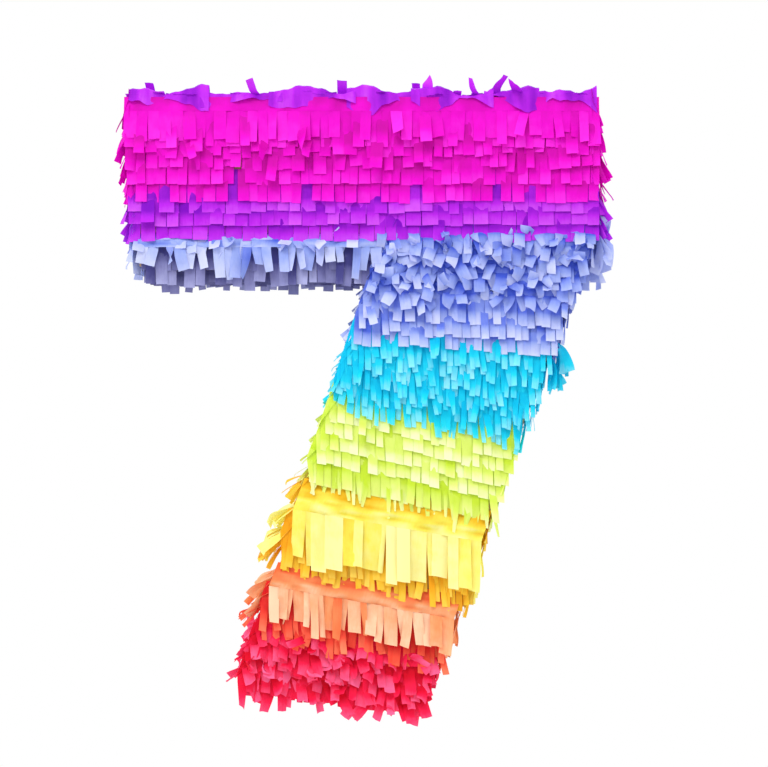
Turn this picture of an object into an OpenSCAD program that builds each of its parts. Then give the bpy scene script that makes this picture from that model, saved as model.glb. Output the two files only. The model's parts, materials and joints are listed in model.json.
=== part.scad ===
// Party figure in the shape of the numeral seven, made to hang from a cord and be filled with sweets.
// A hollow body of corrugated card carries eight bands of cut paper fringe.
// Frame: +X to the right seen from the front, -Y towards the viewer, +Z up.
// The origin is the middle of the hanger hole, in the outer face of the top wall.
// Millimetres throughout.

/* [Card body] */
// Width of the bar over the card
bar_w = 304; // [290:1:330]
// Height of the bar's right end
bar_end_h = 95; // [90:1:105]
// Height of the arm, from the top of the bar to its underside
arm_h = 111; // [108:1:125]
// How far the arm's end leans in at its lower corner
arm_end_lean = 6; // [0:1:12]
// Height of the body at the right corner of the foot
body_h = 398; // [370:1:430]
// Where the foot starts, measured from the left of the bar
foot_left = 77; // [60:1:90]
// Width of the foot
foot_w = 115; // [105:1:135]
// How much higher the foot's left corner is than its right corner
foot_rise = 12; // [0:1:20]
// Where the underside of the arm meets the stem, from the left of the bar
crotch_x = 167; // [150:1:180]
// Depth of the body from its front face to its back face
body_d = 68; // [50:1:90]
// Thickness of the corrugated card
card_t = 3; // [2:0.5:4]

/* [Hanger] */
// Where the hanger hole is, from the left of the bar
hanger_x = 165; // [150:1:190]
// Radius of the hole that the hanging cord goes through
hanger_r = 2.5; // [1.5:0.5:4]
// Side of the square card plate that backs the hole
plate_w = 44; // [30:1:56]

/* [Fill door] */
// Width of the doorway in the back panel
door_w = 80; // [60:1:90]
// Height of the door below its hinge
door_h = 51; // [44:1:51]
// Middle of the door, to the right of the hanger hole
door_x = 65; // [60:1:70]
// Height of the hinge below the top of the bar
door_drop = 16; // [14:1:18]
// Gap round the door
door_gap = 0.8; // [0.5:0.1:1.5]

/* [Fringe] */
// Thickness of a band of fringe
fringe_t = 4; // [3:0.5:5]
// How far loose fringe hangs past a lower edge of the card
fringe_hang = 15; // [8:1:18]
// How far the fringe at the bar's right end hangs past the corner there
bar_end_hang = 30; // [20:1:36]
// Height of the magenta band
magenta_h = 70; // [68:1:74]

/* [Seam tape] */
// Thickness of the paper tape over the seams
tape_t = 0.3; // [0.2:0.1:0.4]
// How far the tape reaches onto each of the two pieces it joins
tape_w = 12; // [8:1:16]

/* [Hidden] */
$fn = 48;

card_colour = [0.71, 0.55, 0.38];
tape_colour = [0.80, 0.70, 0.52];
magenta = [0.93, 0.06, 0.80];
purple = [0.70, 0.17, 0.86];
periwinkle = [0.55, 0.61, 0.88];
cyan = [0.18, 0.83, 0.93];
lime = [0.83, 0.94, 0.45];
yellow = [0.98, 0.92, 0.38];
orange = [0.98, 0.58, 0.42];
red = [0.93, 0.14, 0.28];

// Free room between touching pieces that are only glued, and under the fringe for the seam tape.
glue_gap = 0.3;
fringe_lift = 0.5;
// How far a cutting shape reaches past what it cuts.
cut = 1;

// Corners of the card body in the X-Z plane, clockwise from the top left.
TOP_LEFT = 0;
TOP_RIGHT = 1;
BAR_CORNER = 2;
FOOT_RIGHT = 3;
FOOT_LEFT = 4;
CROTCH = 5;
ARM_CORNER = 6;
body = [for (p = [
    [0, 0],
    [bar_w, 0],
    [bar_w, -bar_end_h],
    [foot_left + foot_w, -body_h],
    [foot_left, foot_rise - body_h],
    [crotch_x, -arm_h],
    [arm_end_lean, -arm_h]
]) p - [hanger_x, 0]];

// Where one band of the stem ends and the next begins, as shares of each stem wall's height.
inner_share = [0, 0.19, 0.34, 0.54, 0.75, 0.885, 1];
outer_share = [0, 0.25, 0.45, 0.63, 0.80, 0.93, 1];
CYAN = 1;
LIME = 2;
YELLOW = 3;
ORANGE = 4;
RED = 5;

half_d = body_d / 2;
// Half the depth over the fringe on the front and the back.
fringe_half_d = half_d + fringe_lift + fringe_t;
purple_top = -magenta_h;
periwinkle_top = -bar_end_h;
hinge_y = half_d - card_t / 2;
hinge_z = -door_drop;
hinge_r = card_t / 2;
// The fringe on top leaves this much room round the cord.
cord_gap_r = 4 * hanger_r;
// The door's fringe starts this far below the hinge, so that it clears the fringe above as it swings up.
door_swing_room = 2;
door_fringe_drop = hinge_r + fringe_lift + fringe_t + door_swing_room;
// The fringe above the doorway stops this far over the hinge.
door_fringe_gap = 3.5;

function unit(v) = v / norm(v);
// The normal that points into the body from its edge a to b.
function inward(a, b) = let (u = unit(b - a)) [u[1], -u[0]];
// The corners of an outline moved in by d, or out where d is negative.
function inset(points, d) = let (n = len(points)) [
    for (i = [0 : n - 1])
        let (before = inward(points[(i + n - 1) % n], points[i]),
             after = inward(points[i], points[(i + 1) % n]))
            points[i] + d * (before + after) / (1 + before * after)
];
// X of the line through a and b at height z.
function x_at(a, b, z) = a[0] + (b[0] - a[0]) * (z - a[1]) / (b[1] - a[1]);
// Z of the line through a and b at x.
function z_at(a, b, x) = a[1] + (b[1] - a[1]) * (x - a[0]) / (b[0] - a[0]);
function inner_x(z) = x_at(body[CROTCH], body[FOOT_LEFT], z);
function outer_x(z) = x_at(body[BAR_CORNER], body[FOOT_RIGHT], z);
function arm_end_x(z) = x_at(body[TOP_LEFT], body[ARM_CORNER], z);
function inner_cut(i) = body[CROTCH][1] + (body[FOOT_LEFT][1] - body[CROTCH][1]) * inner_share[i];
function outer_cut(i) = body[BAR_CORNER][1] + (body[FOOT_RIGHT][1] - body[BAR_CORNER][1]) * outer_share[i];

// An outline in the X-Z plane, given thickness from y0 to y1.
module plate(points, y0, y1) {
    translate([0, y1, 0]) rotate([90, 0, 0]) linear_extrude(y1 - y0) polygon(points);
}

// ---- Card body ----

module front_panel() {
    color(card_colour) plate(body, -half_d, -half_d + card_t);
}

module back_panel() {
    color(card_colour) difference() {
        plate(body, half_d - card_t, half_d);
        translate([door_x - door_w / 2, half_d - card_t - cut, hinge_z - door_h - door_gap])
            cube([door_w, card_t + 2 * cut, door_h + door_gap + hinge_r + fringe_lift]);
    }
}

// One of the walls between the panels, with mitred ends. Wall i runs from corner i to the next.
module wall(i) {
    inside = inset(body, card_t);
    j = (i + 1) % len(body);
    color(card_colour)
        plate([body[i], body[j], inside[j], inside[i]], card_t - half_d, half_d - card_t);
}

module hanger_bore() {
    translate([0, 0, -3 * card_t]) cylinder(r = hanger_r, h = 4 * card_t);
}

module top_wall() {
    color(card_colour) difference() {
        wall(TOP_LEFT);
        hanger_bore();
    }
}

module bar_end_wall() {
    wall(TOP_RIGHT);
}

module stem_outer_wall() {
    wall(BAR_CORNER);
}

module foot_wall() {
    wall(FOOT_RIGHT);
}

module stem_inner_wall() {
    wall(FOOT_LEFT);
}

module underside_wall() {
    wall(CROTCH);
}

module arm_end_wall() {
    wall(ARM_CORNER);
}

module hanger_plate() {
    color(card_colour) difference() {
        translate([-plate_w / 2, -plate_w / 2, -2 * card_t]) cube([plate_w, plate_w, card_t]);
        hanger_bore();
    }
}

// The door's top edge is rounded about the hinge line.
module fill_door() {
    width = door_w - 2 * door_gap;
    color(card_colour) union() {
        translate([door_x - width / 2, half_d - card_t, hinge_z - door_h]) cube([width, card_t, door_h]);
        translate([door_x - width / 2, hinge_y, hinge_z]) rotate([0, 90, 0]) cylinder(r = hinge_r, h = width);
    }
}

// ---- Seam tape ----

// Tape folded over the edge between a panel and the walls, all the way round.
module panel_tape() {
    color(tape_colour) union() {
        translate([0, -half_d, 0]) rotate([90, 0, 0]) linear_extrude(tape_t) difference() {
            polygon(inset(body, -tape_t));
            polygon(inset(body, tape_w));
        }
        translate([0, tape_w - half_d, 0]) rotate([90, 0, 0]) linear_extrude(tape_w) difference() {
            polygon(inset(body, -tape_t));
            polygon(body);
        }
    }
}

module front_seam_tape() {
    panel_tape();
}

module back_seam_tape() {
    mirror([0, 1, 0]) panel_tape();
}

// Short tapes over the seven corners where wall meets wall.
module corner_tape() {
    outside = inset(body, -tape_t);
    n = len(body);
    color(tape_colour) for (i = [0 : n - 1]) {
        back_way = unit(body[(i + n - 1) % n] - body[i]) * tape_w;
        fore_way = unit(body[(i + 1) % n] - body[i]) * tape_w;
        in_before = inward(body[(i + n - 1) % n], body[i]) * tape_t;
        in_after = inward(body[i], body[(i + 1) % n]) * tape_t;
        plate([
            outside[i],
            body[i] + fore_way - in_after,
            body[i] + fore_way,
            body[i],
            body[i] + back_way,
            body[i] + back_way - in_before
        ], tape_w + glue_gap - half_d, half_d - tape_w - glue_gap);
    }
}

// ---- Fringe ----

// A band on the front face, over the given outline.
module face_band(points, colour) {
    color(colour) plate(points, -fringe_half_d, -half_d - fringe_lift);
}

// A band over the points of a side wall, which covers the ends of the bands on the front and the back.
// side is 1 where the wall looks to +X and -1 where it looks to -X.
module side_band(points, side, colour) {
    near = [side * fringe_lift, 0];
    far = [side * (fringe_lift + fringe_t), 0];
    backwards = [for (i = [len(points) - 1 : -1 : 0]) points[i]];
    color(colour) plate(concat(
        [for (p = points) p + near],
        [for (p = backwards) p + far]
    ), -fringe_half_d, fringe_half_d);
}

// The points of a wall that runs from a to b, between two heights.
function wall_between(a, b, z_top, z_low) = [[x_at(a, b, z_top), z_top], [x_at(a, b, z_low), z_low]];
// The points of a wall from a height down to its lower end b, and then straight down past it.
function wall_hanging(a, b, z_top, hang) = [[x_at(a, b, z_top), z_top], b, b - [0, hang]];

// Band i of the stem on the front face, down to the next band.
module stem_face_band(i, colour) {
    face_band([
        [inner_x(inner_cut(i)), inner_cut(i)],
        [outer_x(outer_cut(i)), outer_cut(i)],
        [outer_x(outer_cut(i + 1) + glue_gap), outer_cut(i + 1) + glue_gap],
        [inner_x(inner_cut(i + 1) + glue_gap), inner_cut(i + 1) + glue_gap]
    ], colour);
}

module stem_inner_band(i, colour) {
    low = inner_cut(i + 1) + glue_gap;
    side_band(wall_between(body[CROTCH], body[FOOT_LEFT], inner_cut(i), low), -1, colour);
}

module stem_outer_band(i, colour) {
    low = outer_cut(i + 1) + glue_gap;
    side_band(wall_between(body[BAR_CORNER], body[FOOT_RIGHT], outer_cut(i), low), 1, colour);
}

module arm_end_band(z_top, z_low, colour) {
    side_band(wall_between(body[TOP_LEFT], body[ARM_CORNER], z_top, z_low), -1, colour);
}

module bar_end_band(z_top, z_low, colour) {
    side_band(wall_between(body[TOP_RIGHT], body[BAR_CORNER], z_top, z_low), 1, colour);
}

module purple_fringe_top() {
    color(purple) difference() {
        translate([body[TOP_LEFT][0] - fringe_lift - fringe_t, -fringe_half_d, fringe_lift])
            cube([bar_w + 2 * (fringe_lift + fringe_t), 2 * fringe_half_d, fringe_t]);
        cylinder(r = cord_gap_r, h = 4 * fringe_t, center = true);
    }
}

module bar_face_band(z_top, z_low, colour) {
    face_band([
        [arm_end_x(z_top), z_top],
        [body[TOP_RIGHT][0], z_top],
        [body[TOP_RIGHT][0], z_low],
        [arm_end_x(z_low), z_low]
    ], colour);
}

module magenta_fringe_front() {
    bar_face_band(0, purple_top + glue_gap, magenta);
}

// The back of the magenta band leaves the doorway free, down to the purple band.
module magenta_fringe_back() {
    difference() {
        mirror([0, 1, 0]) bar_face_band(0, purple_top + glue_gap, magenta);
        translate([door_x - door_w / 2 - door_gap, half_d, purple_top - cut])
            cube([door_w + 2 * door_gap, 3 * fringe_t, hinge_z + door_fringe_gap - purple_top + cut]);
    }
}

module magenta_fringe_door() {
    width = door_w - 2 * door_gap;
    top = hinge_z - door_fringe_drop;
    color(magenta) translate([door_x - width / 2, half_d + fringe_lift, purple_top + 2 * glue_gap])
        cube([width, fringe_t, top - purple_top - 2 * glue_gap]);
}

module magenta_fringe_arm_end() {
    arm_end_band(0, purple_top + glue_gap, magenta);
}

module magenta_fringe_bar_end() {
    bar_end_band(0, purple_top + glue_gap, magenta);
}

module purple_fringe_front() {
    bar_face_band(purple_top, periwinkle_top + glue_gap, purple);
}

module purple_fringe_back() {
    mirror([0, 1, 0]) purple_fringe_front();
}

module purple_fringe_arm_end() {
    arm_end_band(purple_top, periwinkle_top + glue_gap, purple);
}

module purple_fringe_bar_end() {
    bar_end_band(purple_top, periwinkle_top + glue_gap, purple);
}

// The periwinkle curtain on the arm hangs past the underside.
module periwinkle_fringe_arm_front() {
    low = -arm_h - fringe_hang;
    side_room = fringe_lift + fringe_t + glue_gap;
    face_band([
        [arm_end_x(periwinkle_top), periwinkle_top],
        [body[CROTCH][0] - glue_gap, periwinkle_top],
        [body[CROTCH][0] - glue_gap, -arm_h],
        [body[CROTCH][0] - side_room, -arm_h],
        [inner_x(low) - side_room, low],
        [body[ARM_CORNER][0], low],
        body[ARM_CORNER]
    ], periwinkle);
}

module periwinkle_fringe_arm_back() {
    mirror([0, 1, 0]) periwinkle_fringe_arm_front();
}

module periwinkle_fringe_arm_end() {
    side_band(wall_hanging(body[TOP_LEFT], body[ARM_CORNER], periwinkle_top, fringe_hang), -1, periwinkle);
}

module periwinkle_fringe_underside() {
    left = body[ARM_CORNER][0] + glue_gap;
    right = inner_x(-arm_h) - 2 * (fringe_lift + fringe_t);
    color(periwinkle) translate([left, -half_d, -arm_h - fringe_lift - fringe_t])
        cube([right - left, body_d, fringe_t]);
}

// On the stem the periwinkle band starts at the bar and goes down to the cyan one.
module periwinkle_fringe_front() {
    face_band([
        [body[CROTCH][0], periwinkle_top],
        [body[BAR_CORNER][0], periwinkle_top],
        [outer_x(outer_cut(CYAN) + glue_gap), outer_cut(CYAN) + glue_gap],
        [inner_x(inner_cut(CYAN) + glue_gap), inner_cut(CYAN) + glue_gap],
        body[CROTCH]
    ], periwinkle);
}

module periwinkle_fringe_back() {
    mirror([0, 1, 0]) periwinkle_fringe_front();
}

// The bar's end wall stops at the corner, and its last fringe hangs straight down past it.
module periwinkle_fringe_bar_end() {
    side_band([body[BAR_CORNER], body[BAR_CORNER] - [0, bar_end_hang]], 1, periwinkle);
}

module periwinkle_fringe_inner() {
    top = -arm_h - fringe_lift - fringe_t - glue_gap;
    side_band(wall_between(body[CROTCH], body[FOOT_LEFT], top, inner_cut(CYAN) + glue_gap), -1, periwinkle);
}

// It starts where the curtain from the bar's end has moved clear of the leaning wall.
module periwinkle_fringe_outer() {
    top = z_at(body[BAR_CORNER], body[FOOT_RIGHT], body[BAR_CORNER][0] - fringe_t - glue_gap);
    low = outer_cut(CYAN) + glue_gap;
    side_band(wall_between(body[BAR_CORNER], body[FOOT_RIGHT], top, low), 1, periwinkle);
}

// The red fringe hangs past the foot.
module red_fringe_front() {
    low_left = body[FOOT_LEFT] - [0, fringe_hang];
    low_right = body[FOOT_RIGHT] - [0, fringe_hang];
    face_band([
        [inner_x(inner_cut(RED)), inner_cut(RED)],
        [outer_x(outer_cut(RED)), outer_cut(RED)],
        body[FOOT_RIGHT],
        low_right,
        low_left,
        body[FOOT_LEFT]
    ], red);
}

module red_fringe_inner() {
    side_band(wall_hanging(body[CROTCH], body[FOOT_LEFT], inner_cut(RED), fringe_hang), -1, red);
}

module red_fringe_outer() {
    side_band(wall_hanging(body[BAR_CORNER], body[FOOT_RIGHT], outer_cut(RED), fringe_hang), 1, red);
}

module red_fringe_foot() {
    down = [0, -1];
    a = body[FOOT_LEFT];
    b = body[FOOT_RIGHT];
    color(red) plate([
        a + down * fringe_lift,
        b + down * fringe_lift,
        b + down * (fringe_lift + fringe_t),
        a + down * (fringe_lift + fringe_t)
    ], -half_d, half_d);
}

front_panel();
back_panel();
top_wall();
bar_end_wall();
stem_outer_wall();
foot_wall();
stem_inner_wall();
underside_wall();
arm_end_wall();
hanger_plate();
fill_door();
front_seam_tape();
back_seam_tape();
corner_tape();
purple_fringe_top();
magenta_fringe_front();
magenta_fringe_back();
magenta_fringe_door();
magenta_fringe_arm_end();
magenta_fringe_bar_end();
purple_fringe_front();
purple_fringe_back();
purple_fringe_arm_end();
purple_fringe_bar_end();
periwinkle_fringe_arm_front();
periwinkle_fringe_arm_back();
periwinkle_fringe_arm_end();
periwinkle_fringe_bar_end();
periwinkle_fringe_underside();
periwinkle_fringe_front();
periwinkle_fringe_back();
periwinkle_fringe_inner();
periwinkle_fringe_outer();
stem_face_band(CYAN, cyan);  // cyan_fringe_front
mirror([0, 1, 0]) stem_face_band(CYAN, cyan);  // cyan_fringe_back
stem_inner_band(CYAN, cyan);  // cyan_fringe_inner
stem_outer_band(CYAN, cyan);  // cyan_fringe_outer
stem_face_band(LIME, lime);  // lime_fringe_front
mirror([0, 1, 0]) stem_face_band(LIME, lime);  // lime_fringe_back
stem_inner_band(LIME, lime);  // lime_fringe_inner
stem_outer_band(LIME, lime);  // lime_fringe_outer
stem_face_band(YELLOW, yellow);  // yellow_fringe_front
mirror([0, 1, 0]) stem_face_band(YELLOW, yellow);  // yellow_fringe_back
stem_inner_band(YELLOW, yellow);  // yellow_fringe_inner
stem_outer_band(YELLOW, yellow);  // yellow_fringe_outer
stem_face_band(ORANGE, orange);  // orange_fringe_front
mirror([0, 1, 0]) stem_face_band(ORANGE, orange);  // orange_fringe_back
stem_inner_band(ORANGE, orange);  // orange_fringe_inner
stem_outer_band(ORANGE, orange);  // orange_fringe_outer
red_fringe_front();
mirror([0, 1, 0]) red_fringe_front();  // red_fringe_back
red_fringe_inner();
red_fringe_outer();
red_fringe_foot();
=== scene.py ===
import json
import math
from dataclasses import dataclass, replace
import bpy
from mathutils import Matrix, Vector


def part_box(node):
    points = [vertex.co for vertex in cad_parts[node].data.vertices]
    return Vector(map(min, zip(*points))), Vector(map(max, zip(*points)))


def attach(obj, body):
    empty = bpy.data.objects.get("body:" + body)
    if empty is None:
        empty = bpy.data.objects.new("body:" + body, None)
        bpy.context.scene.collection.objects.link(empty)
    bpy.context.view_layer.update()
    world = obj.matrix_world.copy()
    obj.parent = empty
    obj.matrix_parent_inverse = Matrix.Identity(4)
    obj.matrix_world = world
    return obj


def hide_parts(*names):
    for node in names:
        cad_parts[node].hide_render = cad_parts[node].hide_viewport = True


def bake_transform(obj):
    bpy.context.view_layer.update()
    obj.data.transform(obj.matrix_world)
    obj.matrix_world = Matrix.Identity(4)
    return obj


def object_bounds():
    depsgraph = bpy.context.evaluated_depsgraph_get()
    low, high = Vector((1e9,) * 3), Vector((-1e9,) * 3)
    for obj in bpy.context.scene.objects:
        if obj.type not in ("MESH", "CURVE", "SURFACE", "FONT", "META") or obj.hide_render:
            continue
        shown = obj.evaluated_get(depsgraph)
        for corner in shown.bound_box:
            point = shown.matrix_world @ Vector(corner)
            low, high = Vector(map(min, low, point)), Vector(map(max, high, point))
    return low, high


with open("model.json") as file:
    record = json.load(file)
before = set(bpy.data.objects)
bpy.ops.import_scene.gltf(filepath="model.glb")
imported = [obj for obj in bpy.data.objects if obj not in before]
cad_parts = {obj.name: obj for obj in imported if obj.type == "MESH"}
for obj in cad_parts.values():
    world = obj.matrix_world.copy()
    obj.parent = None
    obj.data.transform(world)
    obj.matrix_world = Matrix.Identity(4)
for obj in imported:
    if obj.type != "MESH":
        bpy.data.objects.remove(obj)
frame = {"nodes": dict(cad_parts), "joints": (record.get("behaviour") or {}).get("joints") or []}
cad_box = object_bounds()

# %% [markdown]
# # A numeral piñata in cut paper fringe
# The frame holds the card body, its seam tape, the fill door and one plain slab for every band of fringe.
# This lesson keeps the card and the tape and gives them their finish, and it replaces every slab with
# rows of real paper strips. Lengths are in metres, +Z is up and the front of the numeral looks towards
# -Y.

# %% Tools for the lesson
from types import SimpleNamespace
import bmesh
import bpy
import numpy as np
from mathutils import Vector

MM = 0.001
print("CAD box", [[round(c, 4) for c in corner] for corner in cad_box])

# %% [markdown]
# ## The camera
# The numeral is seen square on and from half way up, so the fringe on both ends stands out to the sides
# and the underside of the arm shows between its strips. A long lens from about a metre away keeps it
# undistorted.

# %% The camera
CAMERA_DISTANCE = 1.15
VIEW_WIDTH = 0.507
AIM_X, AIM_Z = 0.0026, -0.189
aim = Vector((AIM_X, cad_box[0][1], AIM_Z))
eye = aim - Vector((0, CAMERA_DISTANCE, 0))
camera = bpy.data.objects.new("camera", bpy.data.cameras.new("camera"))
camera.location = eye
camera.rotation_euler = (aim - eye).to_track_quat("-Z", "Y").to_euler()
camera.data.angle = 2 * math.atan(VIEW_WIDTH / 2 / CAMERA_DISTANCE)
bpy.context.scene.collection.objects.link(camera)
bpy.context.scene.camera = camera
print("field of view", round(math.degrees(camera.data.angle), 1), "degrees")

# %% [markdown]
# ## The studio
# Bright paper on a white ground needs soft light. The sky gives most of it, more from above than from
# below, so the underside stays darker. A softbox above and to the left gives every hem its thin shadow, a
# second one on the left fills it, and a third one lights the back. The camera sees a white dome, which
# lights nothing. The floor is well below, because the numeral hangs.

# %% The sky
SKY_ABOVE, SKY_BELOW = 1.2, 0.75  # brightness overhead and underfoot
world = bpy.data.worlds.new("sky")
world.use_nodes = True
sky = world.node_tree
direction = sky.nodes.new("ShaderNodeTexCoord")
parts = sky.nodes.new("ShaderNodeSeparateXYZ")
brightness = sky.nodes.new("ShaderNodeMapRange")
brightness.inputs["From Min"].default_value = -1.0
brightness.inputs["To Min"].default_value = SKY_BELOW
brightness.inputs["To Max"].default_value = SKY_ABOVE
sky.links.new(direction.outputs["Generated"], parts.inputs[0])
sky.links.new(parts.outputs["Z"], brightness.inputs["Value"])
sky.links.new(brightness.outputs["Result"], sky.nodes["Background"].inputs["Strength"])
sky.nodes["Background"].inputs["Color"].default_value = (1, 1, 1, 1)
bpy.context.scene.world = world
bpy.context.scene.view_settings.view_transform = "Standard"
print("sky from", SKY_BELOW, "below to", SKY_ABOVE, "above")


# %% The softboxes
def softbox(name, place, size, power):
    """A square area light that looks at the numeral."""
    lamp = bpy.data.objects.new(name, bpy.data.lights.new(name, "AREA"))
    lamp.data.size = size
    lamp.data.energy = power
    lamp.location = place
    lamp.rotation_euler = (aim - Vector(place)).to_track_quat("-Z", "Y").to_euler()
    bpy.context.scene.collection.objects.link(lamp)


softbox("softbox_above", (-0.45, -1.2, 1.2), 0.6, 12)
softbox("softbox_left", (-1.4, -0.9, 0.0), 0.8, 4)
softbox("softbox_behind", (0.5, 1.6, 0.9), 1.2, 12)


# %% [markdown]
# ## Writing shaders as sums
# A material is easier to read as arithmetic than as a wall of nodes. `Value` wraps one number socket, so
# that `1 - tone * 0.3` adds its own Math nodes, and `Recipe` holds one material and makes every other
# kind of node.


# %% A value that can be used in sums
class Value:
    """A number socket of a material, which + - * and ** work on."""

    def __init__(self, recipe, socket):
        self.recipe = recipe
        self.socket = socket

    def sum(self, operation, first, second):
        return self.recipe.node("ShaderNodeMath", {"operation": operation}, [first, second])

    def __add__(self, other):
        return self.sum("ADD", self, other)

    def __radd__(self, other):
        return self.sum("ADD", other, self)

    def __sub__(self, other):
        return self.sum("SUBTRACT", self, other)

    def __rsub__(self, other):
        return self.sum("SUBTRACT", other, self)

    def __mul__(self, other):
        return self.sum("MULTIPLY", self, other)

    def __rmul__(self, other):
        return self.sum("MULTIPLY", other, self)

    def __pow__(self, other):
        return self.sum("POWER", self, other)

    def limited(self, low=0.0, high=1.0):
        return self.sum("MINIMUM", self.sum("MAXIMUM", self, low), high)


# %% A material that is built step by step
class Recipe:
    """One material, with its Principled shader, and a method that makes any other node."""

    def __init__(self, name):
        self.material = bpy.data.materials.new(name)
        self.material.use_nodes = True
        self.tree = self.material.node_tree
        self.shader = self.tree.nodes["Principled BSDF"]
        self.out = self.tree.nodes["Material Output"]

    def plug(self, socket, value):
        """Links a value or a node's output into a socket, or sets the socket's own number or colour."""
        if isinstance(value, Value):
            self.tree.links.new(value.socket, socket)
        elif isinstance(value, bpy.types.NodeSocket):
            self.tree.links.new(value, socket)
        else:
            socket.default_value = value

    def node(self, kind, settings=None, inputs=(), output=0):
        """A new node of that kind: its settings first, then its sockets by name or in order."""
        made = self.tree.nodes.new(kind)
        for setting, value in (settings or {}).items():
            setattr(made, setting, value)
        pairs = inputs.items() if isinstance(inputs, dict) else enumerate(inputs)
        for socket, value in pairs:
            self.plug(made.inputs[socket], value)
        return Value(self, made.outputs[output])

    def attribute(self, name, output):
        """A value that was stored on the mesh, such as how dark a strip is."""
        return self.node("ShaderNodeAttribute", {"attribute_name": name}, output=output)

    def noise(self, vector, scale, detail=2.0, roughness=0.5):
        """Soft noise from 0 to 1 over a vector."""
        sockets = {"Vector": vector, "Scale": scale, "Detail": detail, "Roughness": roughness}
        return self.node("ShaderNodeTexNoise", inputs=sockets)

    def stretched(self, vector, scale):
        """The vector with each of its axes multiplied by its own scale."""
        return self.node("ShaderNodeVectorMath", {"operation": "MULTIPLY"}, [vector, scale])

    def mixed(self, share, first, second):
        """The first colour where share is 0, the second where it is 1."""
        made = self.tree.nodes.new("ShaderNodeMix")
        made.data_type = "RGBA"
        self.plug(made.inputs[0], share)
        self.plug(made.inputs[6], first)
        self.plug(made.inputs[7], second)
        return Value(self, made.outputs[2])

    def bump(self, height, distance, strength=1.0):
        """A surface normal from a height in units of distance."""
        sockets = {"Height": height, "Distance": distance, "Strength": strength}
        return self.node("ShaderNodeBump", inputs=sockets)

    def finish(self, **sockets):
        """Sets or links the Principled shader's sockets, named with _ for a space, and gives the material."""
        for name, value in sockets.items():
            self.plug(self.shader.inputs[name.replace("_", " ")], value)
        return self.material


# %% [markdown]
# ## Tissue paper
# Every strip is cut from coloured tissue. Light that has been through one sheet and bounced off the next
# comes out deeper, so a fold in the fringe is painted a stronger colour and not a darker grey, and the
# tips, where a single sheet faces the light, are painted paler. The folds are painted shade and the tips
# painted light. The mesh stores two numbers for this: `tone`, how light each strip is, partly at random
# and partly painted shade and light, and `along`, from 0 where the row above covers the paper to 1 at the
# strip's tip, which places the painted shade below each hem and the painted light at the tips. A third
# one, `paper`, is the place on the flat paper, in metres, and carries the fine creases.


# %% The tissue recipe
def linear(hex_colour):
    """A colour as red, green, blue and 1 in the shader's own units, from its usual six digits."""
    parts = [int(hex_colour[i : i + 2], 16) / 255 for i in (0, 2, 4)]
    return (*[p / 12.92 if p <= 0.04045 else ((p + 0.055) / 1.055) ** 2.4 for p in parts], 1.0)


TISSUE_GLOW = 0.2  # share of the light that comes through the sheet


def tissue(name, deep, main, pale, tip_painted_light=0.35):
    """Coloured tissue: deep in the folds, main in general, and pale where a single sheet faces the light.

    The deep folds are painted shade and the pale tips painted light.
    """
    r = Recipe(name)
    paper = r.attribute("paper", "Vector")
    tone = r.attribute("tone", "Fac")
    along = r.attribute("along", "Fac")
    fibres = r.noise(r.stretched(paper, (900, 160, 1)), 1.0, 3.0, 0.6)
    mottle = r.noise(paper, 120.0, 2.0, 0.5)
    # Painted shade where the row above covers the paper, and painted light towards the tips.
    fold_shade = (1 - along) ** 4 * 0.3
    light = tone + along * tip_painted_light - fold_shade + (mottle - 0.5) * 0.4 + (fibres - 0.5) * 0.25
    shaded = r.mixed((light * 2).limited(), linear(deep), linear(main))
    colour = r.mixed((light * 2 - 1).limited(), shaded, linear(pale))
    creases = r.noise(r.stretched(paper, (420, 150, 1)), 1.0, 4.0, 0.62)
    folds = r.noise(paper, 95.0, 2.0, 0.5)
    normal = r.bump(creases * 0.3 + folds, 0.8 * MM, 0.5)
    r.finish(Base_Color=colour, Roughness=(0.62 + (fibres - 0.5) * 0.3).limited(), Normal=normal)
    r.shader.inputs["Specular IOR Level"].default_value = 0.12
    glow = r.node("ShaderNodeBsdfTranslucent", inputs={"Color": linear(main)})
    thin = r.node("ShaderNodeMixShader", inputs=[TISSUE_GLOW, r.shader.outputs["BSDF"], glow])
    r.plug(r.out.inputs["Surface"], thin)
    return r.material


# %% The papers
# Each one's colour in the folds, in general and where it is pale, and how much paler its tips are.
# The deep colour serves painted shade as well as darker strips, the pale one painted light as well as
# paler strips, and the paler tips are painted light.
SHADES = {
    "magenta": ("CC00A8", "F000D2", "FF34EC", 0.30),
    "purple": ("8000C0", "C024EA", "E05CFA", 0.30),
    "periwinkle": ("4C66DC", "9CAEF0", "D6DCFE", 0.50),
    # Periwinkle paper in painted shade, for the rows under the pale ones on the arm and under the arm.
    "mauve": ("464484", "8A8ABE", "B8BAE8", 0.35),
    "cyan": ("00C2EA", "1EDAF6", "9CF0FF", 0.36),
    "lime": ("CCE83A", "E8F87E", "FCFFCA", 0.40),
    "yellow": ("F6BE22", "FDF05A", "FFFFAC", 0.35),
    "gold": ("F4A81C", "FCCB38", "FFE670", 0.30),
    "orange": ("F66A3C", "FCA068", "FFDAB4", 0.35),
    "flame": ("DE2428", "F85842", "FF9068", 0.35),
    "red": ("D80428", "FA2254", "FF70A4", 0.40),
}
PAPERS = {name: tissue(f"{name}_tissue", *shades) for name, shades in SHADES.items()}
print("papers", sorted(PAPERS))

# %% [markdown]
# ## Card and tape
# The body is brown fluted card. Its flutes show as faint ridges a few millimetres apart, and its liner is
# speckled with darker fibres. The seams are bound with gummed paper tape, a little paler and shinier.


# %% The card and tape recipes
FLUTE_PITCH = 6.5 * MM


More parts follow.
